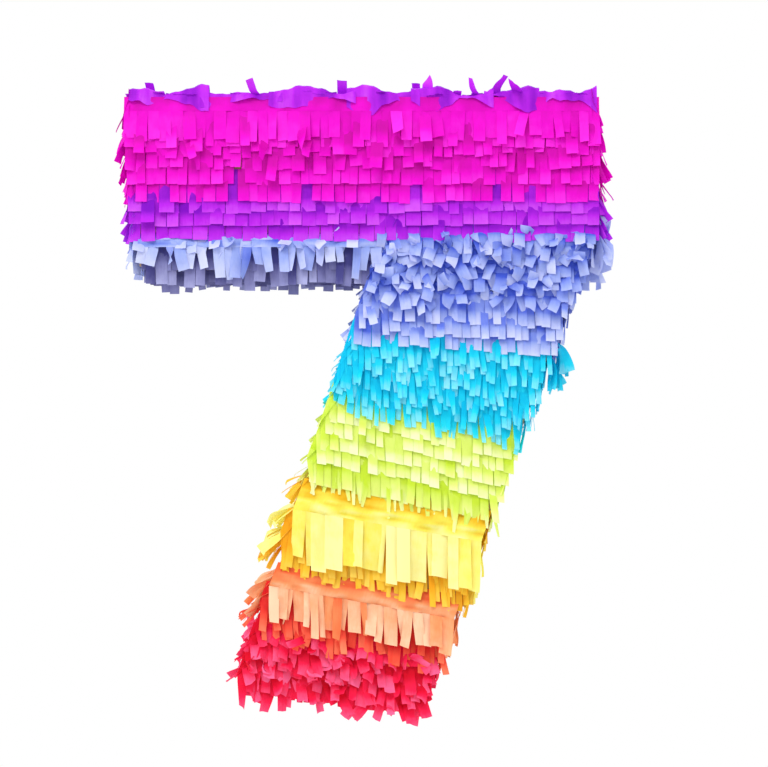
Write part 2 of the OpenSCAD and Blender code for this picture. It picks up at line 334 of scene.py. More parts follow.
def fluted_card():
    r = Recipe("kraft_card")
    place = r.node("ShaderNodeTexCoord", output="Object")
    fibres = r.noise(r.stretched(place, (1400, 1400, 240)), 1.0, 4.0, 0.65)
    blotches = r.noise(place, 38.0, 3.0, 0.55)
    flute_sockets = {"Vector": place, "Scale": 1 / FLUTE_PITCH / 20, "Distortion": 0.4}
    flutes = r.node("ShaderNodeTexWave", {"wave_type": "BANDS", "bands_direction": "X"}, flute_sockets, "Fac")
    light = (blotches - 0.5) * 0.9 + (fibres - 0.5) * 0.7 + 0.5
    colour = r.mixed(light.limited(), linear("9A7348"), linear("CDA877"))
    normal = r.bump(flutes * 0.5 + fibres * 0.3, 0.25 * MM, 0.6)
    r.finish(Base_Color=colour, Roughness=(0.82 + (fibres - 0.5) * 0.2).limited(), Normal=normal)
    r.shader.inputs["Specular IOR Level"].default_value = 0.2
    return r.material


def gummed_tape():
    r = Recipe("gummed_paper_tape")
    place = r.node("ShaderNodeTexCoord", output="Object")
    fibres = r.noise(r.stretched(place, (260, 1200, 1200)), 1.0, 4.0, 0.6)
    wrinkles = r.noise(place, 150.0, 4.0, 0.7)
    colour = r.mixed((fibres * 0.7 + wrinkles * 0.3).limited(), linear("B8905A"), linear("DDBD8C"))
    normal = r.bump(wrinkles + fibres * 0.2, 0.2 * MM, 0.6)
    r.finish(Base_Color=colour, Roughness=(0.5 + (wrinkles - 0.5) * 0.3).limited(), Normal=normal)
    return r.material


# %% The finish of what stays from the frame
CARD, TAPE = fluted_card(), gummed_tape()
for node, part in frame["nodes"].items():
    if "_fringe_" not in node:
        for slot in part.material_slots:
            slot.material = TAPE if node.endswith("_tape") else CARD
print("card and tape on", sum("_fringe_" not in node for node in frame["nodes"]), "parts")

# %% [markdown]
# ## The card body's outline
# Everything is glued to a seven-cornered card body. Its corners come from the front panel in the frame,
# so the fringe follows the card wherever the card goes. The seams between the bands come from the frame's
# own slabs.

# %% Corners and seams
panel = frame["nodes"]["front_panel"].data
corners = sorted({(round(v.co.z, 5), round(v.co.x, 5)) for v in panel.vertices})
named = ["foot_right", "foot_left", "arm_corner", "crotch", "bar_corner", "top_left", "top_right"]
outline = {name: np.array([x, z]) for name, (z, x) in zip(named, corners, strict=True)}
FRONT_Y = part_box("front_panel")[0].y
BACK_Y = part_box("back_panel")[1].y
DEPTH = BACK_Y - FRONT_Y
BANDS = ["periwinkle", "cyan", "lime", "yellow", "orange", "red"]
NEXT_SEAM = dict(zip(BANDS, BANDS[1:] + ["foot"]))


def height(node, corner=1):
    """The height of a node's top, or of its bottom with corner 0."""
    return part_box(node)[corner].z


def on_line(a, b, z):
    """X on the outline's line from corner a to corner b, at height z."""
    start, end = outline[a], outline[b]
    return start[0] + (end[0] - start[0]) * (z - start[1]) / (end[1] - start[1])


FOOT_TILT = 6 * MM  # the lowest hems hang lower on the right than the card does
seams = {c: (height(f"{c}_fringe_inner"), height(f"{c}_fringe_outer")) for c in BANDS}
seams["periwinkle"] = (height("periwinkle_fringe_front"), height("periwinkle_fringe_front"))
seams["foot"] = (outline["foot_left"][1], outline["foot_right"][1] - FOOT_TILT)
print({name: point.tolist() for name, point in outline.items()})
print({name: [round(z, 4) for z in zs] for name, zs in seams.items()})

# %% [markdown]
# ## How a row of fringe is made
# On the real piñata a long ribbon of tissue is snipped along one edge, glued along the other, and the
# next ribbon covers the glue. So a row here has an uncut header and a rank of strips. Each strip leaves
# the card at an angle, bends over its length, swings to one side and twists, all by its own amount.
# Neighbours share part of that amount, because they were creased together when the ribbon was handled.


# %% The habits of a row
@dataclass(frozen=True)
class Habits:
    """How a row's strips are cut and how they lie. Lengths are in millimetres and angles in degrees."""

    width: float = 7.0
    width_spread: float = 0.25  # how uneven the widths are, as a share
    fill: float = 0.975  # share of its room that a strip takes up
    length: float = 22.0
    shown: float = 11.0  # how much of the strip the row above leaves uncovered
    uneven: float = 0.4  # spread of the strips' lengths
    hem_wave: float = 0.5  # slow rise and fall of the whole hem
    header: float = 8.0
    header_painted_light: float = 0.0  # how much painted light makes the header pale at the cuts
    header_painted_shade: float = 0.0  # how much painted shade deepens its glued edge
    ruffle: float = 0.4  # upright ripples of the header
    folds: float = 0.0  # folds that run along the header
    puff: float = 0.0  # how far the header bulges at the cuts
    gap: float = 0.8  # the least clearance from the card
    lift: float = 8.0  # how steeply a strip leaves the card
    lift_spread: float = 2.2
    bend: float = -4.0  # how much steeper it gets over its length
    bend_spread: float = 4.0
    splay: float = 1.0  # how far it swings to one side, from near its root
    swirl: float = 1.0  # the same, over its whole length
    twist: float = 4.0  # how far it turns round its own middle line
    cup: float = 0.3  # how far its middle bulges
    crumple: float = 3.0  # how uneven its bend and its twist are
    missing: float = 0.01
    flipped: float = 0.0  # share of strips that point the other way
    stray: float = 0.03  # share of strips that stand well off
    point: float = 0.0  # 0 is a square end, 1 a blade
    # The tone is how pale the row's paper is. Low tones, on rows that lie under others or in the card's
    # shade, are painted shade.
    tone: float = 0.42
    tone_spread: float = 0.13
    over: float = 1000.0  # how far down the card reaches behind the strips
    reach: float = 12.0  # the furthest a strip's middle stands off before it brushes flat again
    room_up: float = 0.35  # how far up the strips the stem is as wide as the ribbon


def wave(at, lengths, rng):
    """A smooth random curve from about -1 to 1, with one sine for each wavelength in millimetres."""
    total = sum(np.sin(2 * math.pi * (at / (w * MM) + rng.random())) for w in lengths)
    return total / math.sqrt(len(lengths))


# %% The header's surface
def header_surface(h, rng):
    """A function of s, the place along the row, and v, the place up the header, both in metres.

    It gives how far the paper stands off, and how high its folds are, from about -1 to 1, which paints
    light on the ridges and shade in the valleys."""
    phase = rng.random(12)

    def stand(s, v):
        ripples = 0
        for i, wavelength in enumerate((31, 17, 11, 7)):
            lean = (phase[i] - 0.5) * 1.6
            turns = (s + lean * v) / (wavelength * MM) + phase[i + 4]
            ripples = ripples + np.sin(2 * math.pi * turns) / (i + 1)
        run = s / (95 * MM) + 0.35 * np.sin(2 * math.pi * (s / (70 * MM) + phase[8]))
        folds = np.sin(2 * math.pi * (v / (8 * MM) + run + phase[9]))
        folds = folds + 0.6 * np.sin(2 * math.pi * (v / (5 * MM) - s / (60 * MM) + phase[10]))
        bulge = h.puff * np.cos(np.clip(v / (h.header * MM), 0, 1) * math.pi / 2)
        off = h.gap + h.ruffle * (0.5 + 0.5 * ripples) + h.folds * (0.6 + 0.5 * folds) + bulge
        # The second value paints light on the ridges of the folds and shade in their valleys.
        return off * MM, (folds / 1.6 if h.folds > 1 else 0.6 * ripples)

    return stand


# %% Each strip's own amounts
def strip_amounts(middle, h, rng):
    """How each strip lies and how long it is, in degrees and metres, for strips whose middles are at middle.

    Part of every amount is shared with the strip's neighbours."""
    count = len(middle)
    shared = wave(middle, (23, 41, 90), rng)
    own = rng.normal(size=(8, count))
    is_stray = rng.random(count) < h.stray
    lift = h.lift + h.lift_spread * (0.5 * shared + 0.7 * own[0]) + is_stray * rng.uniform(12, 45, count)
    bend = h.bend + h.bend_spread * (0.5 * wave(middle, (30, 55), rng) + 0.8 * own[1])
    splay = h.splay * (0.6 * wave(middle, (35, 60), rng) + 0.8 * own[2]) * (1 + 3 * is_stray)
    splay = splay + (rng.random(count) < h.flipped) * rng.uniform(130, 230, count)
    hem = wave(middle, (47, 83, 140), rng)
    return SimpleNamespace(
        lift=lift,
        bend=bend,
        splay=splay,
        swirl=h.swirl * own[3],
        twist=h.twist * own[4] * (1 + 3 * is_stray),
        long=(h.length + h.uneven * np.clip(own[5], -2, 2) + h.hem_wave * hem) * MM,
        kept=rng.random(count) >= h.missing,
        tone=h.tone + h.tone_spread * (0.4 * shared + 0.8 * own[6]),
        crumple=rng.uniform(0, 2 * math.pi, (2, count)),
        cupped=np.sign(own[7]),
    )


# %% The strips' shapes
STEPS = 8


def strip_shapes(left, root, half, aside, down, out, own, h):
    """Every kept strip's points, step by step from root to tip: one edge, the middle and the other edge."""
    point = root
    ranks = []
    for k in range(STEPS + 1):
        t = k / STEPS
        crumple = h.crumple * np.sin(own.crumple[0] + 7 * t) * min(1, 2 * t)
        rise = np.radians(own.lift + own.bend * t + crumple)
        yaw = np.radians(own.splay * min(1, 3 * t) + own.swirl * t)
        ahead = np.outer(np.cos(yaw), down) + np.outer(np.sin(yaw), aside)
        level = np.outer(np.cos(yaw), aside) - np.outer(np.sin(yaw), down)
        normal = np.cos(rise)[:, None] * out - np.sin(rise)[:, None] * ahead
        roll = np.radians(own.twist * t + h.crumple * np.sin(own.crumple[1] + 5 * t) * t)[:, None]
        across = np.cos(roll) * level + np.sin(roll) * normal
        facing = np.cos(roll) * normal - np.sin(roll) * level
        if k:
            heading = np.cos(rise)[:, None] * ahead + np.outer(np.sin(rise), out)
            point = point + (own.long / STEPS)[:, None] * heading
        # The card behind holds the paper off, and what stands too far off brushes flat again.
        backed = (point - left) @ down < h.over * MM
        point = point + np.outer(np.maximum(0, h.gap * MM - (point - left) @ out) * backed, out)
        point = point - np.outer(np.maximum(0, (point - left) @ out - h.reach * MM), out)
        thin = (half * (1 - h.point * t**2))[:, None]
        crown = h.cup * MM * min(1, 2 * t) * own.cupped[:, None]
        ranks.append(np.stack([point - across * thin, point + facing * crown, point + across * thin], axis=1))
    return np.stack(ranks, axis=1)[own.kept]


# %% The strips as a mesh
def quads_between(grid):
    """The quads between the points of a grid of point numbers, or of many such grids."""
    corners = [grid[..., :-1, :-1], grid[..., 1:, :-1], grid[..., 1:, 1:], grid[..., :-1, 1:]]
    return np.stack(corners, axis=-1).reshape(-1, 4)


def strip_mesh(ranks, middle, half, own, h, rng):
    """The strips' points and faces, with the tone, along and paper values of each point."""
    n = len(ranks)
    grid = np.arange(n * (STEPS + 1) * 3).reshape(n, STEPS + 1, 3)
    t = np.linspace(0, 1, STEPS + 1)[None, :, None] * np.ones((n, 1, 3))
    # along rises from the hem of the row above to the tip: the material paints shade below that hem and light
    # near the tip.
    covered = np.maximum(0, 1 - h.shown * MM / own.long[own.kept])[:, None, None]
    along = h.header_painted_light + (1 - h.header_painted_light) * np.clip((t - covered) / (1 - covered), 0, 1)
    across_paper = middle[:, None, None] + half[:, None, None] * np.array([-1, 0, 1.0])
    offset = rng.uniform(0, 0.4, (n, 1, 1))
    place = np.stack([across_paper + offset + 0 * t, t * h.length * MM + offset, 0 * t], axis=-1)
    return SimpleNamespace(
        points=ranks.reshape(-1, 3),
        faces=quads_between(grid),
        tone=(own.tone[own.kept][:, None, None] + 0 * t).ravel(),
        along=along.ravel(),
        place=place.reshape(-1, 3),
    )


# %% The header as a mesh
HEADER_CELL = 2.6 * MM
HEADER_BAND = 2.2  # millimetres, as the header's height is


def header_mesh(left, span, aside, up, out, standing, h, skip, rng):
    """The uncut part of the ribbon, from the cuts up to the glued edge, with the same values."""
    columns = max(2, round(span / HEADER_CELL))
    bands = max(2, round(h.header / HEADER_BAND))
    s = np.linspace(0, span, columns + 1)[:, None] + np.zeros((1, bands + 1))
    v = np.linspace(0, h.header * MM, bands + 1)[None, :] + np.zeros((columns + 1, 1))
    share = v / (h.header * MM)
    stand, fold_light = standing(s, v)
    stand = stand * np.clip(1.2 - share, 0.2, 1)
    points = left + s[..., None] * aside + v[..., None] * up + stand[..., None] * out
    points = points.reshape(-1, 3)
    tiles = quads_between(np.arange(len(points)).reshape(s.shape))
    if skip is not None:
        tiles = tiles[~skip(points[tiles].mean(axis=1))]
    # Painted light on the fold ridges and painted shade in the valleys, with tone that differs at random
    # along the row.
    fold_light_and_tone = 1.1 * fold_light + 0.5 * wave(s, (19, 43), rng)
    return SimpleNamespace(
        points=points,
        faces=tiles,
        # Painted shade deepens the glued edge, and the header's along gives it painted light at the cuts.
        tone=(h.tone - h.header_painted_shade * share**1.5 + h.tone_spread * fold_light_and_tone).ravel(),
        along=(h.header_painted_light * (1 - share)).ravel(),
        place=np.stack([s, v + 0.5, 0 * s], axis=-1).reshape(-1, 3),
        area=len(tiles) * (span / columns * h.header * MM / bands),
    )


# %% One row
SHEET_LIFT = 0.7 * MM


def row_of_strips(left, right, down, out, paper, h, seed, skip=None, up=None):
    """The mesh of one row. left to right is where the cuts end, and the strips hang along down from there.

    The header goes along up, which is straight against down unless it is given."""
    rng = np.random.default_rng(seed)
    left, right, down, out = (np.array(v, float) for v in (left, right, down, out))
    up = -down if up is None else np.array(up, float)
    span = np.linalg.norm(right - left)
    aside = (right - left) / span
    count = max(2, round(span / (h.width * MM)))
    widths = rng.uniform(1 - h.width_spread, 1 + h.width_spread, count)
    cuts = np.concatenate([[0], np.cumsum(widths)])
    cuts *= span / cuts[-1]
    middle = (cuts[1:] + cuts[:-1]) / 2
    half = (cuts[1:] - cuts[:-1]) / 2 * h.fill
    standing = header_surface(h, rng)
    own = strip_amounts(middle, h, rng)
    root = left + np.outer(middle, aside) + np.outer(standing(middle, 0 * middle)[0], out)
    if skip is not None:
        own.kept &= ~skip(root)
    ranks = strip_shapes(left, root, half, aside, down, out, own, h)
    kept = own.kept
    strips = strip_mesh(ranks, middle[kept], half[kept], own, h, rng)
    header = header_mesh(left, span, aside, up, out, standing, h, skip, rng)
    joined = {}
    for key in ("points", "tone", "along", "place"):
        joined[key] = np.concatenate([getattr(strips, key), getattr(header, key)])
    return SimpleNamespace(
        **joined,
        faces=np.concatenate([strips.faces, header.faces + len(strips.points)]),
        paper=paper,
        flat=(span, (h.header + h.length + 2 * h.uneven + h.hem_wave) * MM),
        area=float(np.sum(2 * half[kept] * own.long[kept]) * (1 - h.point / 3)) + header.area,
        strips=len(ranks),
    )


# %% A piece from one or more rows
strip_count = 0


def fringe_piece(name, rows, slab, body="shell", in_line=False):
    """Makes one Blender piece of the rows, which stands for a slab of the frame. It rides on body, if any.

    The size of the flat paper, with the rows one above the other or end to end with in_line, is worked out
    but not used."""
    global strip_count
    start = np.cumsum([0] + [len(r.points) for r in rows])
    points = np.concatenate([r.points for r in rows])
    faces = np.concatenate([r.faces + s for r, s in zip(rows, start)])
    mesh = bpy.data.meshes.new(name)
    mesh.from_pydata(points.tolist(), [], faces.tolist())
    papers = list(dict.fromkeys(r.paper for r in rows))
    for paper in papers:
        mesh.materials.append(PAPERS[paper])
    slots = np.concatenate([np.full(len(r.faces), papers.index(r.paper)) for r in rows])
    mesh.polygons.foreach_set("material_index", slots)
    mesh.shade_smooth()
    for attribute in ("tone", "along"):
        stored = mesh.attributes.new(attribute, "FLOAT", "POINT")
        values = np.concatenate([getattr(r, attribute) for r in rows])
        stored.data.foreach_set("value", values.astype(np.float32))
    stored = mesh.attributes.new("paper", "FLOAT_VECTOR", "POINT")
    stored.data.foreach_set("vector", np.concatenate([r.place for r in rows]).astype(np.float32).ravel())
    piece = bpy.data.objects.new(name, mesh)
    bpy.context.scene.collection.objects.link(piece)
    if body:
        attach(piece, body)
    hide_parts(slab)
    slab.split("_")[0] + "_paper"
    width = sum(r.flat[0] for r in rows) if in_line else max(r.flat[0] for r in rows)
    length = max(r.flat[1] for r in rows) if in_line else sum(r.flat[1] for r in rows)
    min(sum(r.area for r in rows), width * length)
    strip_count += sum(r.strips for r in rows)
    return piece


# %% [markdown]
# ## Rows on the front and the back
# A row is placed by its hem, the line that its tips make, because that line is what shows. The cuts' end
# is one strip length above it. The stem leans but paper hangs straight down, so each band steps out past
# the right-hand edge. Each ribbon is as long as the card is wide a little way up its strips, and its
# header leans with the card.

# %% Hems on the two faces
HEM_REACH = 4 * MM
BAR_END_REACH = 6 * MM
DOOR_LOW, DOOR_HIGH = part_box("fill_door")
DOOR_CLEARANCE = 1.2 * MM
FACES = {"front": (FRONT_Y - SHEET_LIFT, -1), "back": (BACK_Y + SHEET_LIFT, 1)}
FACE_SEEDS = {"front": 350, "back": 300}  # where each face's seeds start, so that the faces differ


def face_row(face, x0, z0, x1, z1, paper, h, seed, skip=None, up=None):
    """A row on a face, whose strips hang straight down and whose hem runs from x0, z0 to x1, z1."""
    y, side = FACES[face]
    ends = [np.array([x, y, z + h.length * MM]) for x, z in ((x0, z0), (x1, z1))]
    left, right = ends if side < 0 else reversed(ends)
    return row_of_strips(left, right, (0, 0, -1), (0, side, 0), paper, h, seed, skip, up)


def bar_rows(face, z, paper, h, seed, skip=None):
    """A level row across the bar with its hem at height z, or the two on either side of the fill door."""
    x0 = on_line("top_left", "arm_corner", z) - BAR_END_REACH
    x1 = outline["top_right"][0] + BAR_END_REACH
    spans = [(x0, x1)]
    if face == "back" and z + h.length * MM > DOOR_LOW.z:
        spans = [(x0, DOOR_LOW.x - DOOR_CLEARANCE), (DOOR_HIGH.x + DOOR_CLEARANCE, x1)]
    return [face_row(face, a, z, b, z, paper, h, seed + 400 * i, skip) for i, (a, b) in enumerate(spans)]


stem_run = outline["bar_corner"] - outline["foot_right"]
STEM_UP = np.array([stem_run[0], 0, stem_run[1]]) / stem_run[1]


def stem_row(face, band, share, paper, h, seed):
    """A row across the stem, with its hem at a share of the way from the band's seam to the next one."""
    top, low = seams[band], seams[NEXT_SEAM[band]]
    z0 = top[0] + share * (low[0] - top[0])
    z1 = top[1] + share * (low[1] - top[1])
    higher = h.room_up * h.length * MM
    x0 = on_line("crotch", "foot_left", min(z0 + higher, outline["crotch"][1])) - HEM_REACH
    x1 = on_line("bar_corner", "foot_right", min(z1 + higher, outline["bar_corner"][1])) + HEM_REACH
    return face_row(face, x0, z0, x1, z1, paper, h, seed, up=STEM_UP)


print("door from", [round(c, 4) for c in DOOR_LOW], "to", [round(c, 4) for c in DOOR_HIGH])


# %% Where strips have come off
HALF_TEAR = 3.4 * MM


def torn_out(*shares):
    """A skip rule for strips that have come off, at shares of the bar's width."""
    torn = np.array([BAR_LEFT + share * BAR_WIDTH for share in shares])

    def skip(point):
        return np.any(np.abs(point[..., :1] - torn) < HALF_TEAR, axis=-1)

    return skip


# %% The rows of the bar
BAR_TOP = outline["top_left"][1]
BAR_LEFT = outline["top_left"][0]
BAR_WIDTH = outline["top_right"][0] - BAR_LEFT
ARM_LOW = outline["arm_corner"][1]
MAGENTA_LOW = height("purple_fringe_front")
PURPLE_LOW = height("periwinkle_fringe_front")
neat = Habits()
magenta_top = Habits(
    length=20, shown=20, fill=1.02, header=9.5, header_painted_light=0.35, ruffle=0.7, folds=0.3, lift=10,
    lift_spread=5, splay=3, swirl=2, twist=10, stray=0.07, uneven=1.8, hem_wave=1.2, tone=0.36,
    missing=0.0,
)
magenta_messy = replace(
    neat, shown=9, lift=9, lift_spread=4, splay=2.5, twist=9, stray=0.05, uneven=1.3, hem_wave=1.0,
    tone=0.36,
)
magenta_bricks = replace(neat, shown=10, tone=0.44, missing=0.015)
purple_bricks = replace(
    neat, length=19, shown=9, width=9, header=10, lift=7, lift_spread=1.5, bend_spread=2.5, hem_wave=0.9,
    uneven=0.3, ruffle=0.5, stray=0.01, missing=0.0, tone=0.46,
)
# Each row's hem as a share of the band's height, its habits, and where strips have come off.
MAGENTA_ROWS = [
    (0.41, magenta_top, ()),
    (0.47, magenta_bricks, ()),
    (0.55, magenta_messy, ()),
    (0.68, magenta_messy, ()),
    (0.82, magenta_bricks, (0.23,)),
    (0.99, magenta_bricks, (0.23, 0.395, 0.80, 0.83)),
]
PURPLE_ROWS = (0.24, 0.58, 1.0)
magenta_hems = [BAR_TOP + row[0] * (MAGENTA_LOW - BAR_TOP) for row in MAGENTA_ROWS]
purple_hems = [MAGENTA_LOW + share * (PURPLE_LOW - MAGENTA_LOW) for share in PURPLE_ROWS]
for face, seed in FACE_SEEDS.items():
    for i, (z, (_, h, torn)) in enumerate(zip(magenta_hems, MAGENTA_ROWS)):
        rows = bar_rows(face, z, "magenta", h, seed + i, torn_out(*torn))
        fringe_piece(f"magenta_row_{face}_{i + 1}", rows, f"magenta_fringe_{face}", in_line=True)
    for i, z in enumerate(purple_hems):
        rows = bar_rows(face, z, "purple", purple_bricks, seed + 10 + i)
        fringe_piece(f"purple_row_{face}_{i + 1}", rows, f"purple_fringe_{face}", in_line=True)
print("bar rows made, strips so far", strip_count)

# %% [markdown]
# ## The fill door
# The sweets go in through a flap in the back. Its own rows end at the flap's edges and ride on it, and
# the row above it hangs over the crease. That row is paper that crosses the hinge, and it rides on no body.

# %% Rows on the fill door
DOOR_MARGIN = 0.5 * MM
HINGE_Y, HINGE_Z = frame["joints"][0]["pos_m"][1:]
CREASE_ABOVE, CREASE_BELOW = 2 * MM, 5 * MM


def door_row(z, paper, h, seed):
    """A level row as wide as the door, with its hem at height z."""
    return face_row("back", DOOR_LOW.x + DOOR_MARGIN, z, DOOR_HIGH.x - DOOR_MARGIN, z, paper, h, seed)


over_crease = door_row(magenta_hems[0], "magenta", magenta_top, 180)
crease_piece = fringe_piece("magenta_row_over_door", [over_crease], "magenta_fringe_back", body=None)
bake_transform(crease_piece)
for i, z in enumerate(magenta_hems[1:]):
    length = min(neat.length, (HINGE_Z - CREASE_BELOW - z) / MM)
    row = door_row(z, "magenta", replace(magenta_bricks, header=2, length=length), 185 + i)
    fringe_piece(f"magenta_row_door_{i + 1}", [row], "magenta_fringe_door", "fill_door")
below_door = replace(purple_bricks, header=1, length=(DOOR_LOW.z - purple_hems[1]) / MM - 2)
row = door_row(purple_hems[1], "purple", below_door, 195)
fringe_piece("purple_row_below_door", [row], "purple_fringe_back")
print("door rows made, strips so far", strip_count)

# %% [markdown]
# ## The periwinkle rows
# Below the purple the paper changes character. On the arm it is a thin curtain that hangs past the card,
# pale rows over dark ones, whose dark paper is painted shade. On the stem the short strips were fluffed
# up by hand, so they curl out and turn their square ends to the front, with painted shade in deep blue
# between them. Further down they lie flat again.

# %% The curtain on the arm
# curtain_back and curtain_low are periwinkle in painted shade, at low tones, under the pale rows.
curtain_back = Habits(length=16, shown=12, width=6, header=9, lift=2, lift_spread=1, splay=1.5, tone=0.05)
curtain_low = Habits(
    length=21, shown=17, width=6.4, header=9, lift=4, lift_spread=3, splay=3, twist=10, missing=0.10,
    uneven=1.6, hem_wave=1.0, tone=0.20, tone_spread=0.26, over=9,
)
curtain_top = Habits(
    length=15, shown=13, width=6.2, header=9, header_painted_light=0.5, ruffle=1.8, folds=1.2, puff=1.5, lift=16,
    lift_spread=9, bend=-12, bend_spread=16, splay=9, swirl=7, twist=24, stray=0.10, missing=0.12,
    uneven=3.5, tone=0.30, tone_spread=0.2, over=9,
)
curtain_ruffle = Habits(
    length=10, shown=10, header=4, header_painted_light=0.4, ruffle=1.4, folds=0.6, lift=42, lift_spread=20,
    bend=-50, bend_spread=30, splay=22, swirl=16, twist=30, missing=0.12, flipped=0.10, uneven=2.5,
    tone_spread=0.2, crumple=10,
)
# How far each hem is below the arm and in from its end, in millimetres, with its paper and habits.
CURTAIN = [
    (3, 1, "mauve", curtain_back),
    (12.5, 4, "mauve", curtain_low),
    (3, -1, "periwinkle", curtain_top),
    (-7, -4, "periwinkle", curtain_ruffle),
]
for face, seed in FACE_SEEDS.items():
    for i, (drop, inset, paper, h) in enumerate(CURTAIN):
        x0 = outline["arm_corner"][0] + inset * MM
        z = ARM_LOW - drop * MM
        row = face_row(face, x0, z, outline["crotch"][0] - 1 * MM, z, paper, h, seed + 20 + i)
        fringe_piece(f"periwinkle_arm_row_{face}_{i + 1}", [row], f"periwinkle_fringe_arm_{face}")
print("curtain made, strips so far", strip_count)

# %% How the stem's papers lie
ruffled = Habits(
    length=12.5, shown=12.5, width=6.8, header=6, ruffle=1.0, lift=52, lift_spread=20, bend=-58,
    bend_spread=28, splay=22, swirl=16, twist=28, stray=0.05, missing=0.05, flipped=0.14, uneven=1.8,
    tone=0.30, tone_spread=0.19, crumple=10, cup=0.7,
)
ruffled_top = replace(ruffled, flipped=0.05, header=3, length=11)
# A periwinkle row at the lowest tone: painted shade, deep blue between the ruffled strips.
painted_shade_under_ruffles = Habits(length=20, header=10, lift=3, lift_spread=1, missing=0.0, tone=0.02)
settled = Habits(
    length=19, shown=10, width=5.6, lift=10, lift_spread=4, splay=2.5, twist=9, stray=0.04, uneven=1.0,
    tone=0.44,
)
narrow = Habits(
    length=20, width=4.1, lift=9, lift_spread=3.5, bend_spread=8, splay=3.5, swirl=4, twist=12,
    stray=0.05, missing=0.0, uneven=2.4, hem_wave=1.4, point=0.1, tone_spread=0.14,
)
lime_bricks = replace(neat, length=19, shown=8, width=6, header=9, tone=0.54, tone_spread=0.16, uneven=0.6)
# A lime row at a low tone: painted shade in the layer beneath.
lime_under = replace(lime_bricks, length=22, tone=0.16, shown=14)
grassy = Habits(
    length=24, shown=16, width=3.6, lift_spread=4, splay=7, swirl=9, twist=16, point=0.55, uneven=3.0,
    tone=0.34, tone_spread=0.2,
)
gold_under = Habits(
    length=30, shown=14, width=4.2, header=9, lift=6, splay=3, swirl=3, uneven=2.2, hem_wave=1.2,
    stray=0.0, tone=0.34, missing=0.0,
)
wide = Habits(
    length=34, shown=34, width=8, width_spread=0.6, fill=1.04, header=20, header_painted_light=0.7,
    header_painted_shade=0.7, ruffle=1.2, folds=2.2, puff=4, lift=4, lift_spread=4, bend=-1, splay=2.2, swirl=2,
    twist=11, uneven=2.8, hem_wave=2.0, stray=0.02, tone=0.46, tone_spread=0.24, cup=1.3, crumple=6,
    room_up=0.75,
)
flame_under = Habits(
    length=24, shown=13, width=4.6, header=9, lift_spread=4, bend_spread=12, splay=6, swirl=6, uneven=2.5,
    tone=0.38, stray=0.0,
)
peach = Habits(
    length=24, shown=24, width=6, width_spread=0.55, fill=1.04, header=15, header_painted_light=0.6,
    header_painted_shade=0.7, ruffle=2.0, folds=2.0, puff=3, lift=6, lift_spread=6, bend_spread=14, splay=4,
    swirl=5, twist=18, uneven=3.0, missing=0.03, stray=0.04, hem_wave=1.8, crumple=9, cup=1.0, tone=0.44,
    tone_spread=0.2, room_up=0.75,
)
curly = Habits(
    length=15, shown=13, width=6.6, ruffle=0.9, lift=14, lift_spread=10, bend=12, bend_spread=42,
    splay=12, swirl=14, twist=26, uneven=2.2, stray=0.05, missing=0.03, flipped=0.03, crumple=11, cup=0.9,
    tone_spread=0.20,
)
curly_hem = replace(
    curly, length=20, header=10, lift=6, lift_spread=6, bend=22, bend_spread=45, missing=0.0, uneven=3.0,
)
# A red row at a low tone: painted shade in the layer beneath.
red_under = Habits(shown=14, width=6, header=9, lift=4, missing=0.0, tone=0.12)
print("strips from", narrow.width, "mm wide in cyan to", wide.width, "mm in yellow")

# %% The rows of the stem
# The band, the paper, its habits, and each hem as a share of the way from the band's seam to the next one.
STEM = [
    ("periwinkle", "periwinkle", painted_shade_under_ruffles, (0.16, 0.36, 0.56)),
    ("periwinkle", "periwinkle", ruffled_top, (0.07,)),
    ("periwinkle", "periwinkle", ruffled, (0.14, 0.21, 0.29, 0.37, 0.46, 0.55, 0.65)),
    ("periwinkle", "periwinkle", settled, (0.76, 0.88, 1.0)),
    ("cyan", "cyan", narrow, (0.2, 0.36, 0.52, 0.68, 0.86, 1.04)),
    ("lime", "lime", lime_bricks, (0.17, 0.33, 0.49, 0.66)),
    ("lime", "lime", lime_under, (0.92,)),
    ("lime", "lime", grassy, (1.03,)),
    ("yellow", "gold", gold_under, (0.88, 1.0)),
    ("yellow", "yellow", wide, (0.80,)),
    ("orange", "flame", flame_under, (0.95, 1.08)),
    ("orange", "orange", peach, (0.78,)),
    ("red", "red", curly, (0.30, 0.47, 0.64, 0.82)),
    ("red", "red", red_under, (0.74, 1.2)),
    ("red", "red", curly_hem, (1.0, 1.22, 1.46)),
]
for face, seed in FACE_SEEDS.items():
    numbers = dict.fromkeys(PAPERS, 0)
    for band, paper, h, shares in STEM:
        for share in shares:
            seed += 1
            numbers[paper] += 1
            row = stem_row(face, band, share, paper, h, seed + 50)
            fringe_piece(f"{paper}_row_{face}_stem_{numbers[paper]}", [row], f"{band}_fringe_{face}")
print("stem rows made, strips so far", strip_count)

# %% [markdown]
# ## Rows on the walls between the faces
# The narrow walls carry the same bands. Rows there run from front to back. The right-hand wall of the
# stem leans outwards over its own strips, so they hang clear of it, and the left-hand wall leans back, so
# they lie on it. One piece holds all the rows of a band on a wall, and a few tufts stand well off where
# cyan begins.


# %% Rows on a narrow wall
WALL_REACH = 3 * MM


def wall_row(a, b, side, z, paper, h, seed):
    """A row on the wall from corner a to corner b, with its hem level with height z. side is 1 for +X."""
    run = outline[b] - outline[a]
    run = run / np.linalg.norm(run)
    down = np.array([run[0], 0, run[1]])
    out = side * np.array([-run[1], 0, run[0]])
    root = np.array([on_line(a, b, z), 0, z]) + SHEET_LIFT * out - h.length * MM * down
    ends = [root + np.array([0, y, 0]) for y in (FRONT_Y - WALL_REACH, BACK_Y + WALL_REACH)]
    left, right = ends if side > 0 else reversed(ends)
    return row_of_strips(left, right, down, out, paper, h, seed)


